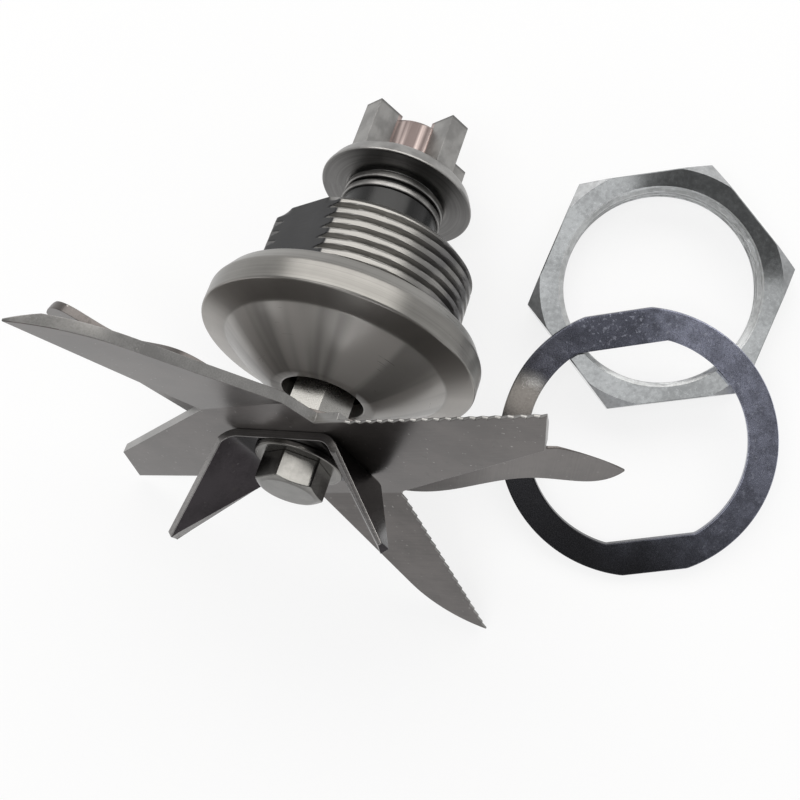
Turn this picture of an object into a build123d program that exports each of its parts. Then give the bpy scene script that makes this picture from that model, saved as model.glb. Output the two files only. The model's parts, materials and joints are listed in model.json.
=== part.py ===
from build123d import *
import os
from math import atan2, cos, degrees, radians, sin, sqrt

# A blender blade assembly lying on a table: a bearing housing that carries a spinning blade set and
# drive coupling, with its retaining nut and keyed washer taken off and lying beside it.
# Millimetres, +Z up from the table. Heights along the shaft are measured from the housing's seat face,
# positive toward the blades.

# Bearing housing
thread_diameter = 36.0
thread_pitch = 2.0
thread_depth = 1.0
thread_crest = 0.4
thread_root = 0.2
thread_runout = 1.1
shank_mouth = 1.4
shank_chamfer = 1.2
shank_flat_depth = 1.8
shank_flats_turn = 131.3
seat_width = 4.5
flange_overhang = 1.4
flange_bevel = 2.4
flange_height = 6.3
crown_inset = 4.6
crown_height = 7.5
nose_wall = 1.9
nose_height = 14.0
nose_gap = 2.0
bearing_shoulder = 6.3
seal_pocket_lip = 2.0
seal_pocket_depth = 4.8

# Ball bearings, side by side on the spindle
bearing_bore = 10.0
bearing_diameter = 26.0
bearing_width = 8.0
ball_count = 8
ball_diameter = 4.6
race_gap = 2.8
bearing_spacing = 2.0
spacer_wall = 2.0

# Circlip, shield and seal
circlip_thickness = 1.2
circlip_width = 2.4
circlip_groove_depth = 0.8
circlip_gap = 5.0
shield_thickness = 1.0
shield_gap = 0.3
seal_lip_width = 1.2
seal_recess_depth = 2.4
seal_shell_wall = 1.3

# Spindle
collar_flats = 10.0
collar_start = 12.2
collar_turn = 17.0
tenon_diameter = 8.0
tenon_flat_depth = 1.0
stud_diameter = 6.0
stud_end_gap = 1.0
drive_stud_diameter = 8.0
drive_stud_length = 11.0
spindle_edge = 0.4

# Blades, stacked on the collar
blade_stack_start = 20.4
lower_thickness = 1.6
cross_thickness = 1.8
upper_thickness = 1.4
bend_radius = 2.0
tooth_pitch = 2.05
tooth_depth = 0.55
tooth_lean = 0.7
edge_land = 0.4
edge_bevel = 4.5
edge_runout = 14.0

# Cross blade: two level arms along X, two rising arms along Y
cross_turn = 37.62
level_arm_toe = (51.8, 7.1)
level_arm_heel = (45.6, -2.2)
saddle_root = (10.4, 8.6)
rising_bend_reach = 14.6
rising_half_width = 9.5
rising_angle = 12.8
rising_length = 39.4
rising_tip_shift = -3.1
rising_back_length = 26.0
rising_back_shift = 6.1

# Lower blade: two arms along Y, bent toward the housing
lower_turn = -90.7
lower_bend_reach = 10.5
lower_half_width = 10.5
lower_angle = 14.0
lower_tip = (-0.6, 40.0)
lower_belly = (12.6, 10.5)
lower_waist = (4.2, 26.5)
lower_tip_swell = (4.6, 35.3)
lower_tip_round = (-5.0, 35.5)
lower_tip_bulge = 1.2
lower_shoulder = (-8.6, 28.4)

# Upper blade: two short arms along Y, bent steeply toward the blade end
upper_turn = -61.7
upper_bend_reach = 8.1
upper_bend_radius = 3.5
upper_half_width = 7.2
upper_angle = 50.0
upper_length = 17.9
upper_tip_half_width = 1.1
upper_tip_shift = -3.0

# Clamp washer and hexagon cap nut
clamp_rim = 4.4
clamp_thickness = 1.0
cap_nut_wall = 2.0
cap_nut_height = 4.9
cap_nut_crown = 0.5
cap_nut_turn = 46.0

# Drive coupling and its sleeve
sleeve_wall = 3.7
hub_step = 0.4
hub_end = 23.1
hub_ring_width = 1.2
hub_groove_width = 0.7
hub_groove_depth = 0.9
hub_ring_count = 2
plate_overhang = 4.9
plate_rim_slope = 1.3
plate_thickness = 2.9
boss_wall = 2.8
boss_drop = 1.2
fin_count = 4
fin_turn = 45.0
fin_reach = 4.4
fin_thickness = 4.0
fin_height = 10.8

# Retaining nut
nut_wall = 2.5
nut_height = 7.0
nut_face_margin = 0.8
nut_edge_drop = 1.4
nut_entry_chamfer = 0.6
nut_turn = 7.0
nut_place = (40.43, 14.89)

# Keyed washer
washer_rim = 5.2
washer_edge_flat = 0.7
washer_thickness = 1.5
washer_bore_clearance = 1.3
washer_key_clearance = 1.4
washer_lean_heading = 81.7
washer_foot_reach = 52.2
washer_turn = 16.5

# Fits
press_clearance = 0.02
running_clearance = 0.05
slip_clearance = 0.05
lean_clearance = 0.12

# Points tried along the swept tip of a rising arm to find its lowest
sweep_steps = 24

# Place on the table: heading of the blade end, and the seat centre's place in plan
shaft_heading = 255.0
seat_place = (-12.57, 6.29)

spindle_radius = bearing_bore / 2
thread_radius = thread_diameter / 2
thread_root_radius = thread_radius - thread_depth
shank_flats = thread_diameter - 2 * shank_flat_depth
seat_radius = thread_radius + seat_width
flange_radius = seat_radius + flange_overhang
crown_radius = flange_radius - crown_inset
nose_bore_radius = spindle_radius + nose_gap
nose_radius = nose_bore_radius + nose_wall
seal_pocket_radius = nose_bore_radius + seal_pocket_lip
bearing_seat_radius = bearing_diameter / 2 + press_clearance
blade_bearing_top = bearing_shoulder
drive_bearing_start = blade_bearing_top - 2 * bearing_width - bearing_spacing
circlip_start = drive_bearing_start - circlip_thickness
shank_length = shank_mouth - circlip_start
lower_start = blade_stack_start
cross_start = lower_start + lower_thickness
upper_start = cross_start + cross_thickness
clamp_start = upper_start + upper_thickness
cap_nut_start = clamp_start + clamp_thickness
cap_nut_end = cap_nut_start + cap_nut_height
hub_length = hub_ring_count * (hub_ring_width + hub_groove_width)
plate_start = -hub_end - hub_length
plate_end = plate_start - plate_thickness
fin_end = plate_end - fin_height
sleeve_radius = spindle_radius + sleeve_wall
hub_radius = sleeve_radius + hub_step
plate_radius = hub_radius + plate_overhang
plate_drive_radius = plate_radius - plate_rim_slope
boss_radius = drive_stud_diameter / 2 + boss_wall
fin_radius = boss_radius + fin_reach


def bend_frames(base, reach, thickness, angle, radius=bend_radius):
    """The strip plane, roll axis and arm plane of a sheet bent across +Y, upward for a positive angle."""
    centre = thickness + radius if angle > 0 else -radius
    strip = Plane(base * Location((0, reach, 0), (90, 0, 0)))
    middle = (base * Location((0, reach, centre))).position
    axis = Axis(middle, base.x_dir if angle > 0 else -base.x_dir)
    arm = Plane(base * Location((0, reach, centre), (angle, 0, 0)) * Location((0, 0, -centre)))
    return strip, axis, arm


# The unit rests on its two lower coupling fins and on the lowest points of the cross blade
foot_drop = (fin_radius + fin_thickness / 2) / sqrt(2)
rising_tip_point = (rising_tip_shift, rising_length)
rising_back_end = (rising_back_shift, rising_back_length)
rising_back_way = (rising_back_shift - rising_half_width, rising_back_length)
rising_sweep = TangentArc(rising_back_end, rising_tip_point, tangent=rising_back_way)
upright_far = Plane(Location((0, 0, cross_start), (0, 0, cross_turn + 180)))
rising_arm = bend_frames(upright_far, rising_bend_reach, cross_thickness, rising_angle)[2]
low_points = [upright_far.from_local_coords((level_arm_toe[0], level_arm_toe[1], 0))]
for step in range(sweep_steps + 1):
    low_points.append(rising_arm.from_local_coords(rising_sweep @ (step / sweep_steps)))
shaft_tilt = max(degrees(atan2(-point.Y - foot_drop, point.Z - fin_end)) for point in low_points)
seat_rise = foot_drop * cos(radians(shaft_tilt)) - fin_end * sin(radians(shaft_tilt))

# The shaft's own plane: X level, Y upward across the shaft, Z along the shaft toward the blades
heading = radians(shaft_heading)
shaft = Plane(
    origin=(seat_place[0], seat_place[1], seat_rise),
    x_dir=(-sin(heading), cos(heading), 0),
    z_dir=(
        cos(radians(shaft_tilt)) * cos(heading),
        cos(radians(shaft_tilt)) * sin(heading),
        sin(radians(shaft_tilt)),
    ),
)
shaft_axis = Axis(shaft.origin, shaft.z_dir)
section = Plane(shaft * Plane.XZ.location)


def across(height, turn=0.0):
    """The plane square to the shaft at a height along it, turned about it."""
    return Plane(shaft * Location((0, 0, height), (0, 0, turn)))


def serrated(start, end):
    """Points of a saw-toothed edge from start to end, cut to the left of the way it runs."""
    run = Vector(*end) - Vector(*start)
    side = Vector(-run.Y, run.X).normalized() * tooth_depth
    count = round(run.length / tooth_pitch)
    points = [Vector(*start)]
    for tooth in range(count):
        points.append(Vector(*start) + run * ((tooth + tooth_lean) / count) + side)
        points.append(Vector(*start) + run * ((tooth + 1) / count))
    return points


def edge_frame(base, start, end):
    """The plane square to a straight edge, short of its start: X into the sheet, Y up, Z along the edge."""
    turn = degrees(atan2(end[1] - start[1], end[0] - start[0]))
    along = Location((start[0], start[1], 0), (0, 0, turn)) * Location((-edge_runout, 0, 0))
    return Plane(base * along * Plane.YZ.location)


def bevel_section(thickness, outside=tooth_depth):
    """The section of the metal ground off the housing side of a sheet's cutting edge."""
    slope = (thickness - edge_land) / edge_bevel
    return [(edge_bevel, 0), (-outside, 0), (-outside, (edge_bevel + outside) * slope)]


def double_d(radius, flats):
    """A round outline with two opposite flats, as on a keyed shaft or hole."""
    return Circle(radius, mode=Mode.PRIVATE) & Rectangle(2 * radius, flats, mode=Mode.PRIVATE)


def half_turn(points):
    """The same points turned half a turn about the shaft."""
    return [(-point[0], -point[1]) for point in points]


os.makedirs("parts", exist_ok=True)

# Bearing housing: one turned profile with the thread's ridges, then two flats milled on the shank
ridge_start = shank_chamfer - shank_length
ridge_count = round((shank_length - shank_chamfer - thread_runout) / thread_pitch)
thread_flank = (thread_pitch - thread_crest - thread_root) / 2
ridges = []
for ridge in range(ridge_count):
    ridge_foot = ridge_start + ridge * thread_pitch
    ridges.append((thread_radius, ridge_foot))
    ridges.append((thread_radius, ridge_foot + thread_crest))
    ridges.append((thread_root_radius, ridge_foot + thread_crest + thread_flank))
    ridges.append((thread_root_radius, ridge_foot + thread_crest + thread_flank + thread_root))
housing_outline = [
    (bearing_seat_radius, -shank_length),
    (thread_radius - shank_chamfer, -shank_length),
    *ridges,
    (thread_radius, ridge_start + ridge_count * thread_pitch),
    (thread_radius, 0),
    (seat_radius, 0),
    (flange_radius, flange_bevel),
    (flange_radius, flange_height),
    (crown_radius, crown_height),
    (nose_radius, nose_height),
    (nose_bore_radius, nose_height),
    (nose_bore_radius, blade_bearing_top + seal_pocket_depth),
    (seal_pocket_radius, blade_bearing_top + seal_pocket_depth),
    (seal_pocket_radius, blade_bearing_top),
    (bearing_seat_radius, blade_bearing_top),
    (bearing_seat_radius, drive_bearing_start),
    (bearing_seat_radius + circlip_groove_depth, drive_bearing_start),
    (bearing_seat_radius + circlip_groove_depth, circlip_start),
    (bearing_seat_radius, circlip_start),
]
with BuildPart() as bearing_housing:
    with BuildSketch(section):
        with BuildLine():
            Polyline(*housing_outline, close=True)
        make_face()
    revolve(axis=shaft_axis)
    with BuildSketch(across(-shank_length, shank_flats_turn)):
        flat_cut = thread_diameter - shank_flats
        with Locations((shank_flats / 2 + flat_cut / 2, 0), (-shank_flats / 2 - flat_cut / 2, 0)):
            Rectangle(flat_cut, thread_diameter)
    extrude(amount=shank_length, mode=Mode.SUBTRACT)
bearing_housing.part.label = "bearing_housing"
export_step(bearing_housing.part, "parts/bearing_housing.step")

# Ball bearings: outer ring, inner ring and a set of balls each
pitch_radius = (bearing_bore + bearing_diameter) / 4
outer_race_radius = pitch_radius + race_gap / 2
inner_race_radius = pitch_radius - race_gap / 2
bearing_starts = {
    "blade": blade_bearing_top - bearing_width,
    "drive": drive_bearing_start,
}
for side, bearing_start in bearing_starts.items():
    bearing_middle = bearing_start + bearing_width / 2
    with BuildPart() as outer_ring:
        with BuildSketch(section):
            with Locations(((outer_race_radius + bearing_diameter / 2) / 2, bearing_middle)):
                Rectangle(bearing_diameter / 2 - outer_race_radius, bearing_width)
            with Locations((pitch_radius, bearing_middle)):
                Circle(ball_diameter / 2 + running_clearance, mode=Mode.SUBTRACT)
        revolve(axis=shaft_axis)
    outer_ring.part.label = f"{side}_bearing_outer_ring"
    export_step(outer_ring.part, f"parts/{side}_bearing_outer_ring.step")

    with BuildPart() as inner_ring:
        with BuildSketch(section):
            inner_bore_radius = spindle_radius + press_clearance
            with Locations(((inner_race_radius + inner_bore_radius) / 2, bearing_middle)):
                Rectangle(inner_race_radius - inner_bore_radius, bearing_width)
            with Locations((pitch_radius, bearing_middle)):
                Circle(ball_diameter / 2 + running_clearance, mode=Mode.SUBTRACT)
        revolve(axis=shaft_axis)
    inner_ring.part.label = f"{side}_bearing_inner_ring"
    export_step(inner_ring.part, f"parts/{side}_bearing_inner_ring.step")

    with BuildPart(across(bearing_middle)) as balls:
        with PolarLocations(pitch_radius, ball_count):
            Sphere(ball_diameter / 2)
    balls.part.label = f"{side}_bearing_balls"
    export_step(balls.part, f"parts/{side}_bearing_balls.step")

# Spacers between the bearings, one for the outer rings and one for the inner rings
spacer_middle = drive_bearing_start + bearing_width + bearing_spacing / 2
with BuildPart() as outer_spacer:
    with BuildSketch(section):
        with Locations((bearing_diameter / 2 - spacer_wall / 2, spacer_middle)):
            Rectangle(spacer_wall, bearing_spacing)
    revolve(axis=shaft_axis)
outer_spacer.part.label = "outer_spacer"
export_step(outer_spacer.part, "parts/outer_spacer.step")

with BuildPart() as inner_spacer:
    with BuildSketch(section):
        with Locations((spindle_radius + press_clearance + spacer_wall / 2, spacer_middle)):
            Rectangle(spacer_wall, bearing_spacing)
    revolve(axis=shaft_axis)
inner_spacer.part.label = "inner_spacer"
export_step(inner_spacer.part, "parts/inner_spacer.step")

# Circlip: an open ring sprung into the groove at the drive end
with BuildPart() as circlip:
    with BuildSketch(across(circlip_start)):
        Circle(bearing_seat_radius + circlip_groove_depth - press_clearance)
        Circle(bearing_seat_radius - circlip_width, mode=Mode.SUBTRACT)
        with Locations((bearing_seat_radius, 0)):
            Rectangle(2 * circlip_width + 2 * circlip_groove_depth, circlip_gap, mode=Mode.SUBTRACT)
    extrude(amount=circlip_thickness)
circlip.part.label = "circlip"
export_step(circlip.part, "parts/circlip.step")

# Drive shield: the dust ring pressed into the mouth of the shank
with BuildPart() as drive_shield:
    with BuildSketch(across(circlip_start)):
        Circle(bearing_seat_radius - press_clearance)
        Circle(sleeve_radius + shield_gap, mode=Mode.SUBTRACT)
    extrude(amount=-shield_thickness)
drive_shield.part.label = "drive_shield"
export_step(drive_shield.part, "parts/drive_shield.step")

# Nose seal: a rubber lip ring, hollow toward the blades so that its lip can flex
seal_end = blade_bearing_top + seal_pocket_depth
seal_bore_radius = spindle_radius + running_clearance
seal_outline = [
    (seal_bore_radius, blade_bearing_top),
    (seal_pocket_radius - press_clearance, blade_bearing_top),
    (seal_pocket_radius - press_clearance, seal_end),
    (seal_pocket_radius - press_clearance - seal_shell_wall, seal_end),
    (seal_pocket_radius - press_clearance - seal_shell_wall, seal_end - seal_recess_depth),
    (seal_bore_radius + seal_lip_width, seal_end - seal_recess_depth),
    (seal_bore_radius + seal_lip_width / 2, seal_end),
    (seal_bore_radius, seal_end),
]
with BuildPart() as nose_seal:
    with BuildSketch(section):
        with BuildLine():
            Polyline(*seal_outline, close=True)
        make_face()
    revolve(axis=shaft_axis)
nose_seal.part.label = "nose_seal"
export_step(nose_seal.part, "parts/nose_seal.step")

# Spindle: journal for the bearings, hexagon collar, keyed tenon for the blades, a stud at each end
stud_end = cap_nut_end - stud_end_gap
tenon_flats = tenon_diameter - 2 * tenon_flat_depth
drive_stud_end = -hub_end - drive_stud_length
with BuildPart() as spindle:
    with BuildSketch(across(-hub_end)):
        Circle(spindle_radius)
    extrude(amount=hub_end + collar_start)
    with BuildSketch(across(collar_start, collar_turn)):
        RegularPolygon(collar_flats / 2, 6, major_radius=False)
    extrude(amount=blade_stack_start - collar_start)
    with BuildSketch(across(blade_stack_start, cross_turn)):
        add(double_d(tenon_diameter / 2, tenon_flats))
    extrude(amount=clamp_start - blade_stack_start - press_clearance)
    with BuildSketch(across(clamp_start - press_clearance)):
        Circle(stud_diameter / 2)
    extrude(amount=stud_end - clamp_start + press_clearance)
    with BuildSketch(across(-hub_end)):
        Circle(drive_stud_diameter / 2)
    extrude(amount=-drive_stud_length)
    chamfer(spindle.edges().filter_by(GeomType.CIRCLE).sort_by(shaft_axis)[-1], spindle_edge)
    chamfer(spindle.edges().filter_by(GeomType.CIRCLE).sort_by(shaft_axis)[0], spindle_edge)
spindle.part.label = "spindle"
export_step(spindle.part, "parts/spindle.step")


# Lower blade: a sheet whose two curved arms slope toward the housing, one edge of each saw-toothed
key_hole_radius = tenon_diameter / 2 + slip_clearance
key_hole_flats = tenon_flats + 2 * slip_clearance
lower_key_turn = cross_turn - lower_turn
lower_root = (-lower_half_width, 0)
lower_edge = [(point.X, point.Y) for point in serrated(lower_shoulder, lower_root)]
lower_edge_length = (Vector(*lower_root) - Vector(*lower_shoulder)).length
lower_tip_length = (Vector(*lower_shoulder) - Vector(*lower_tip)).length
with BuildPart() as lower_blade:
    with BuildSketch(across(lower_start, lower_turn)):
        Rectangle(2 * lower_half_width, 2 * lower_bend_reach)
        add(double_d(key_hole_radius, key_hole_flats), rotation=lower_key_turn, mode=Mode.SUBTRACT)
    extrude(amount=lower_thickness)
    for arm_turn in (0, 180):
        base = across(lower_start, lower_turn + arm_turn)
        strip, roll, arm = bend_frames(base, lower_bend_reach, lower_thickness, -lower_angle)
        with BuildSketch(strip):
            Rectangle(2 * lower_half_width, lower_thickness, align=(Align.CENTER, Align.MIN))
        revolve(axis=roll, revolution_arc=lower_angle)
        with BuildSketch(arm):
            with BuildLine():
                Spline((lower_half_width, 0), lower_belly, lower_waist, lower_tip_swell, lower_tip)
                ThreePointArc(lower_tip, lower_tip_round, lower_shoulder)
                Polyline(*lower_edge, (lower_half_width, 0))
            make_face()
        extrude(amount=lower_thickness)
        with BuildSketch(edge_frame(arm, lower_shoulder, lower_root)):
            with BuildLine():
                Polyline(*bevel_section(lower_thickness), close=True)
            make_face()
        extrude(amount=edge_runout + lower_edge_length, mode=Mode.SUBTRACT)
        with BuildSketch(edge_frame(arm, lower_tip, lower_shoulder)):
            with BuildLine():
                Polyline(*bevel_section(lower_thickness, lower_tip_bulge), close=True)
            make_face()
        extrude(amount=2 * edge_runout + lower_tip_length, mode=Mode.SUBTRACT)
lower_blade.part.label = "lower_blade"
export_step(lower_blade.part, "parts/lower_blade.step")

# Cross blade: level arms with an oblique end, rising arms with a swept tip, one saw-toothed edge on each
bend_end = (rising_half_width, rising_bend_reach)
cross_half = [
    (rising_half_width, -rising_bend_reach),
    level_arm_heel,
    *[(point.X, point.Y) for point in serrated(level_arm_toe, saddle_root)],
    bend_end,
]
rising_root = (-rising_half_width, 0)
rising_edge = [(point.X, point.Y) for point in serrated(rising_tip_point, rising_root)]
rising_edge_length = (Vector(*rising_root) - Vector(*rising_tip_point)).length
level_edge_length = (Vector(*saddle_root) - Vector(*level_arm_toe)).length - edge_bevel
with BuildPart() as cross_blade:
    with BuildSketch(across(cross_start, cross_turn)):
        with BuildLine():
            Polyline(*cross_half, *half_turn(cross_half), close=True)
        make_face()
        add(double_d(key_hole_radius, key_hole_flats), mode=Mode.SUBTRACT)
    extrude(amount=cross_thickness)
    for arm_turn in (0, 180):
        base = across(cross_start, cross_turn + arm_turn)
        strip, roll, arm = bend_frames(base, rising_bend_reach, cross_thickness, rising_angle)
        with BuildSketch(strip):
            Rectangle(2 * rising_half_width, cross_thickness, align=(Align.CENTER, Align.MIN))
        revolve(axis=roll, revolution_arc=rising_angle)
        with BuildSketch(arm):
            with BuildLine():
                Line((rising_half_width, 0), rising_back_end)
                TangentArc(rising_back_end, rising_tip_point, tangent=rising_back_way)
                Polyline(*rising_edge, (rising_half_width, 0))
            make_face()
        extrude(amount=cross_thickness)
        with BuildSketch(edge_frame(arm, rising_tip_point, rising_root)):
            with BuildLine():
                Polyline(*bevel_section(cross_thickness), close=True)
            make_face()
        extrude(amount=edge_runout + rising_edge_length, mode=Mode.SUBTRACT)
        with BuildSketch(edge_frame(base, level_arm_toe, saddle_root)):
            with BuildLine():
                Polyline(*bevel_section(cross_thickness), close=True)
            make_face()
        extrude(amount=edge_runout + level_edge_length, mode=Mode.SUBTRACT)
cross_blade.part.label = "cross_blade"
export_step(cross_blade.part, "parts/cross_blade.step")

# Upper blade: a small sheet whose two pointed arms stand up beside the cap nut
upper_key_turn = cross_turn - upper_turn
with BuildPart() as upper_blade:
    with BuildSketch(across(upper_start, upper_turn)):
        Rectangle(2 * upper_half_width, 2 * upper_bend_reach)
        add(double_d(key_hole_radius, key_hole_flats), rotation=upper_key_turn, mode=Mode.SUBTRACT)
    extrude(amount=upper_thickness)
    for arm_turn in (0, 180):
        base = across(upper_start, upper_turn + arm_turn)
        bend = (upper_bend_reach, upper_thickness, upper_angle, upper_bend_radius)
        strip, roll, arm = bend_frames(base, *bend)
        with BuildSketch(strip):
            Rectangle(2 * upper_half_width, upper_thickness, align=(Align.CENTER, Align.MIN))
        revolve(axis=roll, revolution_arc=upper_angle)
        with BuildSketch(arm):
            with BuildLine():
                Polyline(
                    (-upper_half_width, 0),
                    (upper_half_width, 0),
                    (upper_tip_shift + upper_tip_half_width, upper_length),
                    (upper_tip_shift - upper_tip_half_width, upper_length),
                    close=True,
                )
            make_face()
        extrude(amount=upper_thickness)
upper_blade.part.label = "upper_blade"
export_step(upper_blade.part, "parts/upper_blade.step")

# Clamp washer and cap nut
with BuildPart() as clamp_washer:
    with BuildSketch(across(clamp_start)):
        Circle(stud_diameter / 2 + clamp_rim)
        Circle(stud_diameter / 2 + slip_clearance, mode=Mode.SUBTRACT)
    extrude(amount=clamp_thickness)
clamp_washer.part.label = "clamp_washer"
export_step(clamp_washer.part, "parts/clamp_washer.step")

cap_nut_flats = stud_diameter + 2 * cap_nut_wall
cap_corner_radius = cap_nut_flats / sqrt(3)
with BuildPart() as cap_nut:
    with BuildSketch(across(cap_nut_start, cap_nut_turn)):
        RegularPolygon(cap_nut_flats / 2, 6, major_radius=False)
    extrude(amount=cap_nut_height)
    with BuildSketch(section):
        with BuildLine():
            Polyline(
                (0, cap_nut_start),
                (cap_corner_radius, cap_nut_start),
                (cap_corner_radius, cap_nut_end - cap_nut_crown),
                (cap_nut_flats / 2 - cap_nut_crown, cap_nut_end),
                (0, cap_nut_end),
                close=True,
            )
        make_face()
    revolve(axis=shaft_axis, mode=Mode.INTERSECT)
    with BuildSketch(across(cap_nut_start)):
        Circle(stud_diameter / 2 + slip_clearance)
    extrude(amount=stud_end - cap_nut_start + slip_clearance, mode=Mode.SUBTRACT)
cap_nut.part.label = "cap_nut"
export_step(cap_nut.part, "parts/cap_nut.step")

# Neck sleeve: the black spacer between the drive bearing and the coupling
with BuildPart() as neck_sleeve:
    with BuildSketch(across(-hub_end)):
        Circle(sleeve_radius)
        Circle(spindle_radius + slip_clearance, mode=Mode.SUBTRACT)
    extrude(amount=hub_end + drive_bearing_start)
neck_sleeve.part.label = "neck_sleeve"
export_step(neck_sleeve.part, "parts/neck_sleeve.step")

# Drive coupling: grooved hub, plate with a sloping rim, a boss and four fins
coupling_outline = [(0, -hub_end), (hub_radius, -hub_end)]
for ring in range(hub_ring_count):
    ring_start = -hub_end - ring * (hub_ring_width + hub_groove_width)
    coupling_outline.append((hub_radius, ring_start - hub_ring_width))
    coupling_outline.append((hub_radius - hub_groove_depth, ring_start - hub_ring_width))
    coupling_outline.append((hub_radius - hub_groove_depth, ring_start - hub_ring_width - hub_groove_width))
    coupling_outline.append((hub_radius, ring_start - hub_ring_width - hub_groove_width))
coupling_outline += [
    (plate_radius, plate_start),
    (plate_drive_radius, plate_end),
    (boss_radius, plate_end),
    (boss_radius, fin_end + boss_drop),
    (0, fin_end + boss_drop),
]
with BuildPart() as drive_coupling:
    with BuildSketch(section):
        with BuildLine():
            Polyline(*coupling_outline, close=True)
        make_face()
    revolve(axis=shaft_axis)
    with BuildSketch(across(plate_end, fin_turn)):
        with PolarLocations(0, fin_count):
            Rectangle(fin_radius, fin_thickness, align=(Align.MIN, Align.CENTER))
        Circle(boss_radius, mode=Mode.SUBTRACT)
    extrude(amount=-fin_height)
    with BuildSketch(across(-hub_end)):
        Circle(drive_stud_diameter / 2 + slip_clearance)
    extrude(amount=-drive_stud_length - slip_clearance, mode=Mode.SUBTRACT)
drive_coupling.part.label = "drive_coupling"
export_step(drive_coupling.part, "parts/drive_coupling.step")

# Retaining nut: a thin hexagon nut chamfered on both faces, lying flat on the table
nut_flats = thread_diameter + 2 * nut_wall
nut_face_radius = nut_flats / 2 + nut_face_margin
nut_corner_radius = nut_flats / sqrt(3)
nut_base = Plane(Location((nut_place[0], nut_place[1], 0), (0, 0, nut_turn)))
nut_section = Plane(nut_base * Plane.XZ.location)
nut_bore_radius = thread_radius - thread_depth + slip_clearance
nut_outline = [
    (nut_bore_radius + nut_entry_chamfer, 0),
    (nut_face_radius, 0),
    (nut_corner_radius, nut_edge_drop),
    (nut_corner_radius, nut_height - nut_edge_drop),
    (nut_face_radius, nut_height),
    (nut_bore_radius + nut_entry_chamfer, nut_height),
    (nut_bore_radius, nut_height - nut_entry_chamfer),
    (nut_bore_radius, nut_entry_chamfer),
]
with BuildPart() as retaining_nut:
    with BuildSketch(nut_base):
        RegularPolygon(nut_flats / 2, 6, major_radius=False)
    extrude(amount=nut_height)
    with BuildSketch(nut_section):
        with BuildLine():
            Polyline(*nut_outline, close=True)
        make_face()
    revolve(axis=Axis(nut_base.origin, nut_base.z_dir), mode=Mode.INTERSECT)
retaining_nut.part.label = "retaining_nut"
export_step(retaining_nut.part, "parts/retaining_nut.step")

# Keyed washer: a flat ring with a double-D hole. One edge stands on the table, and the rim of the hole
# leans on the edge of the nut's upper face, where the two circles cross in plan.
washer_hole_radius = thread_radius + washer_bore_clearance
washer_radius = washer_hole_radius + washer_rim
washer_flats = 2 * washer_radius - 2 * washer_edge_flat
washer_hole_flats = shank_flats + 2 * washer_key_clearance
washer_apart = washer_foot_reach - washer_radius
washer_rest_reach = (washer_apart**2 + nut_face_radius**2 - washer_hole_radius**2) / (2 * washer_apart)
washer_lean = degrees(atan2(nut_height + lean_clearance, washer_foot_reach - washer_rest_reach))
lean_heading = radians(washer_lean_heading)
washer_foot = Plane(
    origin=(
        nut_place[0] - washer_foot_reach * cos(lean_heading),
        nut_place[1] - washer_foot_reach * sin(lean_heading),
        0,
    ),
    x_dir=(sin(lean_heading), -cos(lean_heading), 0),
    z_dir=(0, 0, 1),
)
washer_tilted = Plane(washer_foot * Location((0, 0, 0), (washer_lean, 0, 0)))
washer_plane = Plane(washer_tilted * Location((0, washer_radius, 0), (0, 0, washer_turn)))
with BuildPart() as keyed_washer:
    with BuildSketch(washer_plane):
        add(double_d(washer_radius, washer_flats))
        add(double_d(washer_hole_radius, washer_hole_flats), mode=Mode.SUBTRACT)
    extrude(amount=washer_thickness)
keyed_washer.part.label = "keyed_washer"
export_step(keyed_washer.part, "parts/keyed_washer.step")
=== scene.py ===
import json
import math

import bmesh
import bpy
from mathutils import Matrix, Vector
from mathutils.bvhtree import BVHTree


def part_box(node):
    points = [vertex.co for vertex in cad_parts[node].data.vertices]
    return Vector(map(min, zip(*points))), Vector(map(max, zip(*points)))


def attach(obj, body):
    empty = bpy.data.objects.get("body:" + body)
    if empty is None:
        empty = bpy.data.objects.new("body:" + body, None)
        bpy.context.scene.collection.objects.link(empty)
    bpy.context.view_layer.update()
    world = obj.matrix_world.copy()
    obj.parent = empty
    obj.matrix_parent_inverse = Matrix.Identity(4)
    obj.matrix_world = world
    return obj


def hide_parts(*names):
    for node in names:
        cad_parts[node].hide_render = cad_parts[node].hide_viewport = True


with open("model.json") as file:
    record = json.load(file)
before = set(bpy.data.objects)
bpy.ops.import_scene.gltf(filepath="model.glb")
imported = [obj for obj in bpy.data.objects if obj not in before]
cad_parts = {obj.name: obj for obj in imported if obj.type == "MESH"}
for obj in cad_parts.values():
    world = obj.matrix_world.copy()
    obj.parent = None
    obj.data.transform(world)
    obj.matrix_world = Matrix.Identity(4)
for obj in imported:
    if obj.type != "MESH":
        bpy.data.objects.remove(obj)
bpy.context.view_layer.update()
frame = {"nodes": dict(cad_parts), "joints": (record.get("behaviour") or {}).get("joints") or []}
scene = bpy.context.scene

# Lengths of the unit are in millimetres, as a turner would read them, and become metres when a form is made
MM = 0.001

# The shaft's own axes, from the joint the rotor spins on: X level, Y upward across it, Z toward the blades
spin = frame["joints"][0]
shaft_way = Vector(spin["axis"]).normalized()
level_way = Vector((-shaft_way.y, shaft_way.x, 0)).normalized()
shaft_place = Matrix((level_way, shaft_way.cross(level_way), shaft_way)).transposed().to_4x4()
shaft_place.translation = Vector(spin["pos_m"])
to_shaft = shaft_place.inverted()

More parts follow.
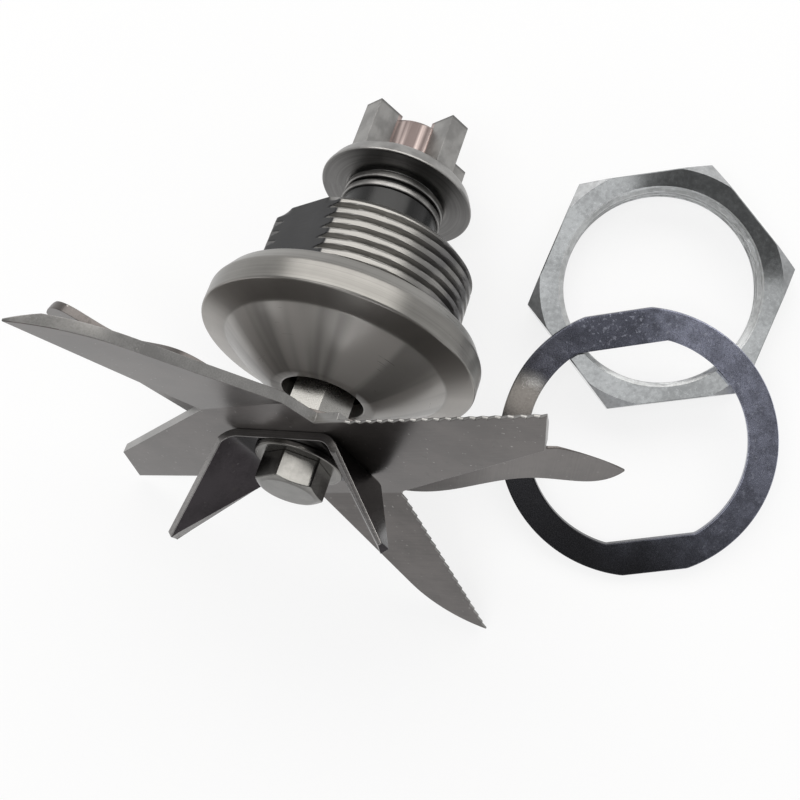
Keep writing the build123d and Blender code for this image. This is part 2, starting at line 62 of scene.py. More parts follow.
# Bearing housing
thread_radius = 18.0
thread_root_radius = 17.15
thread_pitch = 2.0
thread_crest_share = 0.42
thread_root_share = 0.08
thread_start = -13.1
thread_end = -1.1
thread_fade = 0.8
shank_end = -14.3
shank_mouth_radius = 16.8
shank_flat_half = 16.2
shank_flat_turn = math.radians(131.3)
shank_wall_least = 0.5
bearing_seat_radius = 13.02
bearing_shoulder = 6.3
seat_radius = 22.5
flange_radius = 23.9
flange_bevel = 2.4
flange_height = 6.3
crown_radius = 19.3
crown_height = 7.5
crown_swell = 0.35
nose_radius = 8.9
nose_height = 14.0
nose_bore_radius = 7.0
seal_pocket_radius = 9.0
seal_pocket_end = 11.1

# Drive end
sleeve_radius = 8.7
sleeve_bore_radius = 5.05
sleeve_start = -11.7
hub_start = -23.1
hub_radius = 9.1
hub_rings = 2
hub_ring_width = 1.2
hub_groove_width = 0.7
hub_groove_depth = 0.9
plate_radius = 14.0
plate_drive_radius = 12.7
plate_start = -26.9
plate_end = -29.8
boss_radius = 6.8
boss_end = -39.4
stud_bore_radius = 4.05
stud_bore_end = -34.15
fin_count = 4
fin_turn = math.radians(45)
fin_radius = 11.2
fin_thickness = 4.0
fin_end = -40.6
fin_root = boss_radius - 1.0
fin_foot = plate_end + 0.6
fin_edge_break = 0.14

# Blade end
clamp_radius = 7.4
clamp_bore_radius = 3.05
clamp_start = 25.2
clamp_end = 26.2
cap_flat_half = 5.0
cap_end = 31.1
cap_crown = 0.5
cap_turn = math.radians(46)
# The flat of the cap nut that takes painted shade under the upper blade
cap_shade_turn = cap_turn + math.radians(90)
cap_bore_radius = 3.05
cap_bore_end = 30.15
spindle_edge_break = 0.18
blade_edge_break = 0.1
upper_edge_break = 0.16

# Upper blade: where its arms bend up, their edge, and the bevel ground on it
upper_turn = math.radians(-61.7)
upper_start = 23.8
upper_bend_reach = 8.1
upper_bend_centre = 4.9
upper_angle = math.radians(50)
upper_thickness = 1.4
upper_heel = Vector((-7.2, 0.0))
upper_tip = Vector((-4.1, 17.9))
ground_start = 1.2
ground_width = 2.0
ground_depth = 0.75

# Cross blade: its level arms and its rising arms, each with the edge that carries the teeth
cross_turn = math.radians(37.62)
cross_start = 22.0
cross_thickness = 1.8
level_edge_root = Vector((10.4, 8.6))
level_edge_toe = Vector((51.8, 7.1))
level_edge_length = 41.0
rising_bend_reach = 14.6
rising_bend_centre = 3.8
rising_angle = math.radians(12.8)
rising_edge_root = Vector((-9.5, 0.0))
rising_edge_tip = Vector((-3.1, 39.4))
rising_edge_length = 39.4
tooth_depth = 0.55
plain_root_length = 5.6

# Lower blade: its arms bend toward the housing
lower_turn = math.radians(-90.7)
lower_start = 20.4
lower_bend_reach = 10.5
lower_bend_radius = 2.0
lower_angle = math.radians(14)
lower_edge_root = Vector((-10.5, 0.0))
lower_edge_shoulder = Vector((-8.6, 28.4))
lower_edge_length = 28.0

# Retaining nut and keyed washer, lying beside the unit
nut_flat_half = 20.5
nut_height = 7.0
nut_turn = math.radians(7)
nut_face_radius = 21.3
nut_edge_drop = 1.4
nut_edge_break = 0.2
nut_bore_radius = 17.05
nut_bore_root_radius = 17.75
nut_entry_depth = 0.6
nut_entry_flare = 1.5
washer_radius = 24.5
washer_flat_half = 23.8
washer_thickness = 1.5
washer_hole_radius = 19.3
washer_hole_flat_half = 17.6
washer_turn = math.radians(16.5)
washer_foot_reach = 52.2
washer_heading = math.radians(81.7)
washer_lean_rise = 7.12

# On the washer's face: the heading of its painted lighter side, and where a painted highlight and a painted
# shade patch lie
washer_pale_heading = Vector((0.78, 0.63, 0.0))
washer_pale_span = (-12.0, 42.0)
washer_highlight_turn = math.radians(167)
washer_highlight_span = (3.0, 9.0)
washer_shade_turn = math.radians(110)
washer_shade_span = (7.0, 20.0)
washer_patch_reach = 21.9

# Limits of the mesh work: gaps in millimetres, and in degrees the angle from which an edge counts as sharp
weld_gap = 0.0002
sliver_gap = 0.0001
solid_weld_gap = 0.002
cut_gap = 0.001
root_gap = 0.01
touch_gap = 0.05
edge_gap = 0.1
outline_gap = 0.2
flat_angle = math.radians(0.8)
turned_sharp = 32.0
cap_sharp = 25.0
nut_sharp = 20.0
solid_sharp = 24.0
upper_sharp = 15.0
sheet_sharp = 40.0

# Where the nut lies, and how the washer leans on it
nut_low, nut_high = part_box("retaining_nut")
nut_centre = Vector(((nut_low.x + nut_high.x) / 2, (nut_low.y + nut_high.y) / 2, 0))
nut_place = Matrix.Translation(nut_centre) @ Matrix.Rotation(nut_turn, 4, "Z")
washer_apart = washer_foot_reach - washer_radius
washer_rest = (washer_apart ** 2 + nut_face_radius ** 2 - washer_hole_radius ** 2) / (2 * washer_apart)
washer_lean = math.atan2(washer_lean_rise, washer_foot_reach - washer_rest)
washer_way = Vector((math.cos(washer_heading), math.sin(washer_heading), 0))
washer_place = (
    Matrix.Translation(nut_centre - washer_way * washer_foot_reach * MM)
    @ Matrix.Rotation(washer_heading - math.pi / 2, 4, "Z") @ Matrix.Rotation(washer_lean, 4, "X")
    @ Matrix.Translation((0, washer_radius * MM, 0)) @ Matrix.Rotation(washer_turn, 4, "Z")
)


def on_washer(turn):
    """A place on the washer's upper face, in millimetres along the shaft's axes."""
    out = Matrix.Rotation(turn - washer_turn, 4, "Z") @ Vector((washer_patch_reach, 0, washer_thickness))
    return to_shaft @ washer_place @ (out * MM) / MM


washer_pale_way = to_shaft.to_3x3() @ washer_pale_heading
washer_pale_middle = washer_pale_way.dot(to_shaft @ washer_place.translation) / MM
# Places on the washer's face of its painted highlight and of its painted shade patch
washer_highlight_place = on_washer(washer_highlight_turn)
washer_shade = on_washer(washer_shade_turn)


# Forms

def eased(outline, steps=4, most=0.45):
    """A closed outline of (radius, height, ease), with each corner rounded by its ease."""
    rounded = []
    for index, (radius, height, ease) in enumerate(outline):
        corner = Vector((radius, height))
        back = Vector(outline[index - 1][:2]) - corner
        ahead = Vector(outline[(index + 1) % len(outline)][:2]) - corner
        if not ease:
            rounded.append((radius, height))
            continue
        cut = min(ease, most * back.length, most * ahead.length)
        start, end = corner + back.normalized() * cut, corner + ahead.normalized() * cut
        for step in range(steps + 1):
            t = step / steps
            point = start * (1 - t) ** 2 + corner * (2 * t * (1 - t)) + end * t * t
            rounded.append((point.x, point.y))
    return rounded


def cleaned(mesh, sharp):
    """Welds the seams of a mesh, turns its faces outward and shades it smooth up to the sharp edges."""
    form = bmesh.new()
    form.from_mesh(mesh)
    bmesh.ops.remove_doubles(form, verts=form.verts, dist=weld_gap * MM)
    bmesh.ops.dissolve_degenerate(form, edges=form.edges, dist=sliver_gap * MM)
    bmesh.ops.recalc_face_normals(form, faces=form.faces)
    form.to_mesh(mesh)
    form.free()
    mesh.polygons.foreach_set("use_smooth", [True] * len(mesh.polygons))
    mesh.set_sharp_from_angle(angle=math.radians(sharp))
    mesh.update()
    return mesh


def standing(mesh, place):
    """A piece of that mesh, whose place is in its points, as it is in the CAD nodes."""
    mesh.transform(place)
    piece = bpy.data.objects.new(mesh.name, mesh)
    scene.collection.objects.link(piece)
    return piece


def swept(name, section_at, segments, sharp=turned_sharp):
    """A mesh swept round its own Z: section_at gives the closed outline at each angle as (radius, height)."""
    verts, faces = [], []
    for turn in range(segments):
        angle = 2 * math.pi * turn / segments
        section = section_at(angle)
        verts += [(r * math.cos(angle) * MM, r * math.sin(angle) * MM, h * MM) for r, h in section]
    count = len(verts) // segments
    for turn in range(segments):
        here, there = turn * count, (turn + 1) % segments * count
        for point in range(count):
            after = (point + 1) % count
            faces.append((here + point, there + point, there + after, here + after))
    mesh = bpy.data.meshes.new(name)
    mesh.from_pydata(verts, [], faces)
    return cleaned(mesh, sharp)


def flat_reach(flat_half, angle, edge_on=0.02):
    """How far out a straight flat lies at an angle from its middle, and no limit where it faces away."""
    facing = abs(math.cos(angle))
    return flat_half / facing if facing > edge_on else math.inf


def hex_reach(flat_half, angle):
    """How far out the side of a hexagon lies at an angle from one of its corners."""
    return flat_half / math.cos((angle % (math.pi / 3)) - math.pi / 6)


def thread_depth_at(angle, height):
    """How deep a right-hand thread is cut at a place, from 0 on its crest to 1 at its root."""
    phase = (height / thread_pitch - angle / (2 * math.pi)) % 1.0
    flank = (1 - thread_crest_share - thread_root_share) / 2
    fall = (phase - thread_crest_share) / flank
    rise = (1 - phase) / flank
    cut = max(0.0, min(1.0, fall, rise))
    return cut * cut * (3 - 2 * cut)


def bent(turn, start, reach, centre, angle):
    """The frame of a blade's arm: X across it, Y out along it, Z off its face."""
    return (
        Matrix.Rotation(turn, 4, "Z") @ Matrix.Translation(Vector((0, reach, start + centre)) * MM)
        @ Matrix.Rotation(angle, 4, "X") @ Matrix.Translation(Vector((0, 0, -centre)) * MM)
    )


def plain_edge(form, arm, start, end, length):
    """Straightens a saw-toothed edge of an arm over a length from its start."""
    along = (end - start).normalized()
    inward = Vector((along.y, -along.x))
    flat = arm.inverted()
    for vert in form.verts:
        place = flat @ vert.co / MM
        offset = place.xy - start
        notch = offset.dot(inward)
        within = -edge_gap < offset.dot(along) < length and -edge_gap < place.z < cross_thickness + edge_gap
        if within and touch_gap < notch < tooth_depth + edge_gap:
            vert.co -= arm.to_3x3() @ (inward * notch * MM).to_3d()


def part_toothed(form):
    """Leaves the cross blade's teeth on one level and one rising arm, the level one plain near the hub."""
    for half, length in ((0.0, plain_root_length), (math.pi, level_edge_length)):
        level = bent(cross_turn + half, cross_start, 0.0, 0.0, 0.0)
        plain_edge(form, level, level_edge_root, level_edge_toe, length)
    rising = bent(cross_turn, cross_start, rising_bend_reach, rising_bend_centre, rising_angle)
    plain_edge(form, rising, rising_edge_root, rising_edge_tip, rising_edge_length)


def half_toothed(form):
    """Leaves the teeth of the lower blade on one arm only."""
    arm = bent(lower_turn + math.pi, lower_start, lower_bend_reach, -lower_bend_radius, -lower_angle)
    plain_edge(form, arm, lower_edge_root, lower_edge_shoulder, lower_edge_length)


def ground(form):
    """Grinds a bevel on the inner face of each upper arm, along the steeper of its edges."""
    along = (upper_tip - upper_heel).normalized()
    inward = Vector((along.y, -along.x))
    bevel_root = (Vector((0, ground_start)), Vector((0, 1)))
    bevel_side = (upper_heel + inward * ground_width, inward)
    for half in (0.0, math.pi):
        arm = bent(upper_turn + half, upper_start, upper_bend_reach, upper_bend_centre, upper_angle)
        flat = arm.inverted()
        for middle, way in (bevel_root, bevel_side):
            sheet = [face for face in form.faces
                     if min((flat @ vert.co).y for vert in face.verts) > -root_gap * MM]
            sheet += dict.fromkeys(part for face in sheet for part in (*face.verts, *face.edges))
            bmesh.ops.bisect_plane(form, geom=sheet, dist=cut_gap * MM, plane_co=arm @ (middle * MM).to_3d(),
                                   plane_no=arm.to_3x3() @ way.to_3d())
        for vert in form.verts:
            place = flat @ vert.co / MM
            at_edge = abs((place.xy - upper_heel).dot(inward)) < touch_gap
            if at_edge and place.y > ground_start - touch_gap and place.z > upper_thickness - touch_gap:
                vert.co -= arm.to_3x3() @ Vector((0, 0, ground_depth * MM))


def break_edges(form, edges, ease):
    """Breaks some edges of a form with a small round bevel."""
    bmesh.ops.bevel(form, geom=edges, offset=ease * MM, segments=2, profile=0.5, affect="EDGES",
                    clamp_overlap=True)


def broken_edges(name, node, ease, sharp=solid_sharp, reshape=None, most_lift=0.6):
    """A CAD node's form in the shaft's axes, with its sharp edges broken as tumbling leaves them."""
    mesh = frame["nodes"][node].data.copy()
    mesh.name = name
    mesh.transform(to_shaft)
    form = bmesh.new()
    form.from_mesh(mesh)
    if reshape:
        reshape(form)
    bmesh.ops.remove_doubles(form, verts=form.verts, dist=solid_weld_gap * MM)
    bmesh.ops.dissolve_limit(form, angle_limit=flat_angle, verts=form.verts, edges=form.edges)
    skin = BVHTree.FromBMesh(form)
    keen = [edge for edge in form.edges
            if edge.is_manifold and edge.calc_face_angle(0.0) > math.radians(sharp)]
    break_edges(form, keen, ease)
    for vert in form.verts:
        nearest, _, _, away = skin.find_nearest(vert.co)
        if away > most_lift * ease * MM:
            vert.co = nearest
    form.to_mesh(mesh)
    form.free()
    return standing(cleaned(mesh, sheet_sharp), shaft_place)


# Finishes

class Value:
    """A socket of a finish. Arithmetic on it adds Math nodes."""

    def __init__(self, finish, socket):
        self.finish, self.socket = finish, socket

    def maths(self, operation, first, second):
        return self.finish.node("ShaderNodeMath", {"operation": operation}, {0: first, 1: second})

    def __add__(self, other):
        return self.maths("ADD", self, other)

    def __radd__(self, other):
        return self.maths("ADD", other, self)

    def __sub__(self, other):
        return self.maths("SUBTRACT", self, other)

    def __rsub__(self, other):
        return self.maths("SUBTRACT", other, self)

    def __mul__(self, other):
        return self.maths("MULTIPLY", self, other)

    def __rmul__(self, other):
        return self.maths("MULTIPLY", other, self)

    def __truediv__(self, other):
        return self.maths("DIVIDE", self, other)

    def __rtruediv__(self, other):
        return self.maths("DIVIDE", other, self)

    def __pow__(self, other):
        return self.maths("POWER", self, other)

    def __gt__(self, other):
        return self.maths("GREATER_THAN", self, other)

    def __lt__(self, other):
        return self.maths("LESS_THAN", self, other)


class Finish:
    """The node tree of a material or of the world."""

    def __init__(self, owner):
        owner.use_nodes = True
        self.owner, self.tree = owner, owner.node_tree
        self.tree.nodes.clear()

    def node(self, kind, settings=None, inputs=None, output=0):
        """Adds a node, with its settings set first and then its sockets, and gives one of its outputs."""
        made = self.tree.nodes.new(kind)
        for key, value in (settings or {}).items():
            if key == "stops":
                while len(made.color_ramp.elements) < len(value):
                    made.color_ramp.elements.new(1.0)
                for element, (position, colour) in zip(made.color_ramp.elements, value):
                    element.position, element.color = position, colour
            else:
                setattr(made, key, value)
        for key, value in (inputs or {}).items():
            if isinstance(value, Value):
                self.tree.links.new(value.socket, made.inputs[key])
            else:
                made.inputs[key].default_value = value
        return Value(self, made.outputs[output]) if made.outputs else made

    def place(self):
        """Where a point lies on its own piece, in millimetres along the shaft's axes."""
        inputs = {
            "Vector": self.node("ShaderNodeTexCoord", output="Object"),
            "Location": shaft_place.translation,
            "Rotation": shaft_place.to_euler(),
            "Scale": (MM, MM, MM),
        }
        return self.node("ShaderNodeMapping", {"vector_type": "TEXTURE"}, inputs)

    def parts(self, vector):
        """The three numbers of a vector."""
        split = self.node("ShaderNodeSeparateXYZ", None, {0: vector})
        return [Value(self, socket) for socket in split.socket.node.outputs]

    def vector(self, x, y, z):
        return self.node("ShaderNodeCombineXYZ", None, {0: x, 1: y, 2: z})

    def vector_maths(self, operation, first, second, output=0):
        return self.node("ShaderNodeVectorMath", {"operation": operation}, {0: first, 1: second}, output)

    def noise(self, vector, fineness, detail, rough=0.55):
        """A soft mottled pattern from 0 to 1, which takes more turns over a length as its fineness grows."""
        inputs = {"Vector": vector, "Scale": fineness, "Detail": detail, "Roughness": rough}
        return self.node("ShaderNodeTexNoise", None, inputs)

    def between(self, value, low, high):
        """A value brought to 0 at low and 1 at high, eased at both ends."""
        settings = {"interpolation_type": "SMOOTHSTEP"}
        return self.node("ShaderNodeMapRange", settings, {"Value": value, "From Min": low, "From Max": high})

    def mixed(self, share, first, second):
        """A colour between two others."""
        return self.node("ShaderNodeMix", {"data_type": "RGBA"}, {0: share, 6: first, 7: second}, output=2)

    def bump(self, height, strength, depth):
        inputs = {"Height": height, "Strength": strength, "Distance": depth * MM}
        return self.node("ShaderNodeBump", None, inputs)

    def surface(self, **inputs):
        """The shader itself."""
        named = {key.replace("_", " "): value for key, value in inputs.items()}
        shader = self.node("ShaderNodeBsdfPrincipled", None, named)
        self.node("ShaderNodeOutputMaterial", None, {"Surface": shader})
        return self.owner


# How far one finish runs into the next at an edge, and how deep the fine relief is, in millimetres
blend = 0.2
fine_relief = 0.03
faint_relief = 0.02


def grey(value, red=1.0, blue=1.0):
    return (value * red, value, value * blue, 1.0)


def spread(share, limits):
    """A value between two limits."""
    low, high = limits
    return low + share * (high - low)


def round_the_shaft(f, here):
    """The two places of a point across the shaft, its height along it, its radius and its angle round it."""
    x, y, height = f.parts(here)
    radius = (x * x + y * y) ** 0.5
    angle = y.maths("ARCTAN2", y, x)
    return x, y, height, radius, angle


def tool_marks(f, radius, height, angle, per_mm, drift, detail):
    """Rings that a lathe tool leaves, which drift a little on their way round."""
    return f.noise(f.vector(radius * per_mm, height * per_mm, angle * drift), 1.0, detail)


def turned_metal(name, dark, light, rough, groove):
    """Lathe-turned steel: fine tool marks run round the piece, with faint smears across them."""
    f = Finish(bpy.data.materials.new(name))
    here = f.place()
    _, _, height, radius, angle = round_the_shaft(f, here)
    marks = tool_marks(f, radius, height, angle, per_mm=5.2, drift=0.7, detail=2.0)
    bands = tool_marks(f, radius, height, angle, per_mm=0.9, drift=0.25, detail=1.0)
    smears = f.noise(here, 0.16, 3.0)
    shade = marks * 0.35 + bands * 0.3 + smears * 0.35
    return f.surface(
        Base_Color=f.mixed(f.between(shade, 0.36, 0.64), dark, light),
        Metallic=1.0,
        Roughness=spread(marks * 0.5 + smears * 0.5, rough),
        Normal=f.bump(marks * 0.7 + bands * 0.3, groove, fine_relief),
    )


def housing_metal():
    """The housing's turned steel: lighter on the cone with painted reflection streaks, with painted shade on
    the flange, in the thread's roots, at the thread's sides and on the flats, and darker over the thread.
    """
    f = Finish(bpy.data.materials.new("turned_steel"))
    here = f.place()
    x, y, height, radius, angle = round_the_shaft(f, here)
    marks = tool_marks(f, radius, height, angle, per_mm=5.2, drift=0.7, detail=2.0)
    bands = tool_marks(f, radius, height, angle, per_mm=0.9, drift=0.3, detail=1.0)
    smears = f.noise(here, 0.15, 3.0)
    shade = marks * 0.3 + bands * 0.35 + smears * 0.35
    steel = f.mixed(f.between(shade, 0.36, 0.64), grey(0.22, 1.03, 0.94), grey(0.32, 1.03, 0.94))

    # The cone, painted lighter and with bright and dark spokes as painted reflection streaks, the flange
    # behind it with painted shade, and the ring between them with the same painted streaks
    painted_spokes = f.noise(f.vector(x / radius, y / radius, height * 0.009), 3.4, 2.0, 0.5)
    painted_cone_streaks = f.mixed(f.between(painted_spokes, 0.36, 0.62), grey(0.26, 1.04, 0.95), grey(0.44, 1.04, 0.95))
    cone = f.between(height, crown_height - blend, crown_height + blend)
    steel = f.mixed(cone, steel, painted_cone_streaks)
    # Painted shade over the flange
    painted_flange_shade = (height > -blend) * (1 - cone)
    steel = f.mixed(painted_flange_shade * 0.4, steel, grey(0.10, 1.03, 0.94))
    ring_round = f.between(radius, crown_radius - 1.5 * blend, crown_radius + 2 * blend)
    ring = ring_round * f.between(height, flange_height - blend, flange_height + blend / 2)
    steel = f.mixed(ring, steel, f.mixed(painted_spokes, grey(0.25, 1.05, 0.94), grey(0.42, 1.05, 0.94)))

    # The thread, darker overall, with painted shade in its roots and painted shade at both sides
    outside = radius > shank_flat_half + blend / 2
    thread = (height < thread_end + blend) * outside
    steel = f.mixed(thread * 0.35, steel, grey(0.19, 1.02, 0.98))
    painted_root_shade = thread * (1 - f.between(radius, thread_root_radius - blend / 4, thread_radius - 2 * blend))
    steel = f.mixed(painted_root_shade * 0.3, steel, grey(0.06, 1.05, 0.92))
    # Painted shade at both sides of the thread, broken into smears
    sideways = x / radius
    at_sides = f.between(sideways, 0.45, 0.8) + f.between(sideways, -0.86, -0.93)
    painted_side_shade = at_sides * (height < -2 * blend) * outside * f.between(smears, 0.3, 0.6)
    steel = f.mixed(painted_side_shade * 0.65, steel, grey(0.06, 1.0, 1.1))

    # The milled flats, painted near-black as painted shade
    across = x * math.cos(shank_flat_turn) + y * math.sin(shank_flat_turn)
    reach = across.maths("ABSOLUTE", across, 0.0)
    flat_depth = f.between(reach, shank_flat_half - blend, shank_flat_half - blend / 4)
    flat = flat_depth * (reach < shank_flat_half + blend) * (height < thread_end)
    steel = f.mixed(flat, steel, f.mixed(smears, grey(0.020, 1.0, 1.04), grey(0.055, 1.0, 1.04)))
    return f.surface(
        Base_Color=steel,
        Metallic=0.86 - cone * 0.4,
        Roughness=spread(marks * 0.5 + smears * 0.5, (0.22, 0.38)) + flat * 0.12,
        Normal=f.bump(marks * 0.7 + bands * 0.3, 0.16, fine_relief),
    )


def coupling_metal():
    """Polished coupling steel, with painted shade on a ring of its plate and in its grooves, darker tips on
    its fins, and a copper-toned boss.
    """
    f = Finish(bpy.data.materials.new("coupling_steel"))
    here = f.place()
    x, y, height, radius, angle = round_the_shaft(f, here)
    smears = f.noise(here, 0.26, 4.0)
    marks = tool_marks(f, radius, height, angle, per_mm=3.0, drift=0.8, detail=2.0)
    steel = f.mixed(f.between(smears, 0.36, 0.64), grey(0.22, 1.02, 0.97), grey(0.32, 1.02, 0.97))

    # Painted shade on the ring round the hub, on the plate's hub side
    hub_side = f.between(height, plate_start - 0.75 * blend, plate_start - blend / 4)
    painted_plate_shade = hub_side * (radius > hub_radius + blend)
    steel = f.mixed(painted_plate_shade, steel, f.mixed(marks, grey(0.11, 1.02, 0.98), grey(0.24, 1.02, 0.98)))

    # The boss, streaked along its side and plain on its end
    boss = (radius < boss_radius + blend) * (height < plate_end + 4 * blend)
    side = f.between(height, boss_end + blend / 4, boss_end + 2.5 * blend)
    streaks = f.noise(f.vector(x / radius * side, y / radius * side, height * 0.004), 5.0, 2.0, 0.5)
    copper = f.mixed(f.between(streaks, 0.38, 0.6), (0.13, 0.105, 0.10, 1.0), (0.43, 0.36, 0.34, 1.0))
    steel = f.mixed(boss, steel, copper)

    # Painted shade in the hub's grooves, and the darker tips of the fins
    groove_wall = f.between(radius, hub_radius - hub_groove_depth + blend, hub_radius - blend)
    groove = (1 - groove_wall) * (height > plate_start + blend / 2)
    steel = f.mixed(groove * 0.85, steel, grey(0.02))
    tip = 1 - f.between(height, fin_end + blend / 2, fin_end + 4 * blend)
    steel = f.mixed(tip * 0.7, steel, grey(0.08, 1.03, 0.97))
    return f.surface(
        Base_Color=steel,
        Metallic=1.0,
        Roughness=spread(smears, (0.28, 0.44)),
        Normal=f.bump(smears, 0.03, faint_relief),
    )


def blade_metal(name, dark, light, rough, grain_turn, stain, nicks=0.4, metallic=1.0):
    """Rolled or drawn stainless steel: a fine straight grain, soft stains, and a few bright nicks."""
    f = Finish(bpy.data.materials.new(name))
    here = f.place()
    turned = {"Vector": here, "Rotation": (0.0, 0.0, -grain_turn)}
    along = f.node("ShaderNodeMapping", {"vector_type": "POINT"}, turned)
    grain = f.noise(f.vector_maths("MULTIPLY", along, (0.12, 4.2, 4.2)), 1.0, 2.0)
    cloud = f.noise(here, 0.095, 4.0, 0.6)
    fleck = f.noise(here, 1.4, 2.0, 0.5)
    spot = f.noise(here, 0.7, 2.0, 0.5)
    colour = f.mixed(f.between(grain * 0.3 + cloud * 0.7, 0.38, 0.62), dark, light)
    colour = f.mixed(f.between(fleck, 0.70, 0.76) * nicks, colour, grey(0.55, 1.02, 0.96))
    colour = f.mixed(f.between(spot, 0.66, 0.74) * stain, colour, grey(0.05, 1.1, 0.9))
    return f.surface(
        Base_Color=colour,
        Metallic=metallic,
        Roughness=spread(grain * 0.5 + cloud * 0.5, rough),
        Normal=f.bump(grain * 0.6 + fleck * 0.4, 0.05, fine_relief),
    )


def zinc_metal(name, dark, light, rough, pit, metallic=1.0, spangle=1.2):
    """Zinc plating: a fine mottle of crystals, bright specks, and soft tarnish."""
    f = Finish(bpy.data.materials.new(name))
    here = f.place()
    mottle = f.noise(here, spangle, 4.0, 0.65)
    cloud = f.noise(here, spangle / 12, 3.0, 0.5)
    fleck = f.noise(here, spangle * 1.7, 2.0, 0.6)
    colour = f.mixed(f.between(mottle * 0.5 + cloud * 0.5, 0.38, 0.64), dark, light)
    colour = f.mixed(f.between(fleck, 0.60, 0.70) * 0.15, colour, grey(0.7, 0.98, 1.03))
    return f.surface(
        Base_Color=colour,
        Metallic=metallic,
        Roughness=spread(mottle * 0.6 + cloud * 0.4, rough),
        Normal=f.bump(mottle * 0.5 + fleck * 0.5, pit, fine_relief),
    )


def washer_metal():
    """The washer's dulled zinc: slate-dark, with a painted lighter side along one heading, a painted shade
    patch and a painted highlight patch.
    """
    f = Finish(bpy.data.materials.new("zinc_washer"))
    here = f.place()
    mottle = f.noise(here, 2.6, 4.0, 0.65)
    cloud = f.noise(here, 0.15, 3.0, 0.5)
    fleck = f.noise(here, 1.7, 3.0, 0.6)
    patches = f.noise(here, 0.42, 4.0, 0.6)
    # A painted lighter side, growing paler along one heading
    reach = f.vector_maths("DOT_PRODUCT", here, washer_pale_way, "Value") - washer_pale_middle
    painted_pale_side = f.between(reach + cloud * 16.0, *washer_pale_span)
    colour = f.mixed(painted_pale_side, grey(0.030, 1.0, 1.08), grey(0.44, 0.96, 1.26))
    colour = f.mixed((1 - f.between(patches, 0.40, 0.60)) * 0.3, colour, grey(0.03, 1.0, 1.15))

    # A painted shade patch, and a painted highlight patch
    from_shade = f.vector_maths("DISTANCE", here, washer_shade, "Value")
    painted_shade_patch = 1 - f.between(from_shade + patches * 8.0, *washer_shade_span)
    colour = f.mixed(painted_shade_patch * 0.8, colour, grey(0.05, 0.96, 1.26))
    # The painted highlight, bright and smoother
    from_highlight = f.vector_maths("DISTANCE", here, washer_highlight_place, "Value")
    painted_highlight = 1 - f.between(from_highlight + cloud * 4.0, *washer_highlight_span)
    colour = f.mixed(painted_highlight, colour, grey(0.9, 1.0, 0.97))

    # Bright specks of the zinc, shown only on its painted lighter side, and fine dark pits
    speck = f.between(fleck, 0.56, 0.68) * painted_pale_side
    colour = f.mixed(speck * 0.4, colour, grey(0.75, 0.97, 1.15))
    pit = 1 - f.between(mottle, 0.38, 0.52)
    colour = f.mixed(pit * 0.14, colour, grey(0.02, 0.97, 1.1))
    return f.surface(
        Base_Color=colour,
        Metallic=1.0,
        Roughness=spread(mottle - painted_highlight, (0.2, 0.34)),
        Normal=f.bump(mottle * 0.5 + fleck * 0.5, 0.1, fine_relief),
    )


def cap_metal():
    """The cap nut's bright steel, with painted shade on the flat that the upper blade shelters."""
    f = Finish(bpy.data.materials.new("fastener_steel"))
    here = f.place()
    x, y, height = f.parts(here)
    smears = f.noise(here, 0.26, 3.0)
    marks = f.noise(here, 1.6, 2.0)
    steel = f.mixed(f.between(smears, 0.36, 0.64), grey(0.18, 1.02, 0.95), grey(0.26, 1.02, 0.95))
    # Painted shade on the flat facing the upper blade, below the crown
    shaded_flat_reach = x * math.cos(cap_shade_turn) + y * math.sin(cap_shade_turn) + smears * (2 * blend)
    below_crown = f.between(height, cap_end - 1.5 * blend, cap_end - 4 * blend)
    painted_blade_shade = f.between(shaded_flat_reach, cap_flat_half, cap_flat_half + blend) * below_crown
    steel = f.mixed(painted_blade_shade, steel, grey(0.035, 1.08, 0.92))
    face = f.between(height, cap_end - 1.5 * blend, cap_end)
    steel = f.mixed(face * 0.6, steel, grey(0.10, 1.03, 0.95))
    return f.surface(
        Base_Color=steel,
        Metallic=1.0,
        Roughness=0.16 + smears * 0.1 + marks * 0.06,
        Normal=f.bump(marks, 0.03, faint_relief),
    )


def moulded(name, dark, light, rough, grain_per_mm, relief):
    """Moulded black plastic or rubber, with a faint grain and dust."""
    f = Finish(bpy.data.materials.new(name))
    here = f.place()
    grain = f.noise(here, grain_per_mm, 3.0)
    dust = f.noise(here, grain_per_mm / 6, 3.0)
    return f.surface(
        Base_Color=f.mixed(f.between(dust, 0.4, 0.7), dark, light),
        Roughness=spread(grain, rough),
        Specular_IOR_Level=0.3,
        Normal=f.bump(grain, relief, faint_relief),
    )


turned_steel = housing_metal()
coupling_steel = coupling_metal()
fastener_steel = cap_metal()
zinc_washer = washer_metal()

bearing_steel = turned_metal("bearing_steel", grey(0.45), grey(0.6), rough=(0.12, 0.22), groove=0.05)
spring_steel = turned_metal("spring_steel", grey(0.06), grey(0.12), rough=(0.3, 0.45), groove=0.08)
clamp_steel = turned_metal(
    "clamp_steel", grey(0.11, 1.04, 0.94), grey(0.19, 1.04, 0.94), rough=(0.2, 0.32), groove=0.04,
)

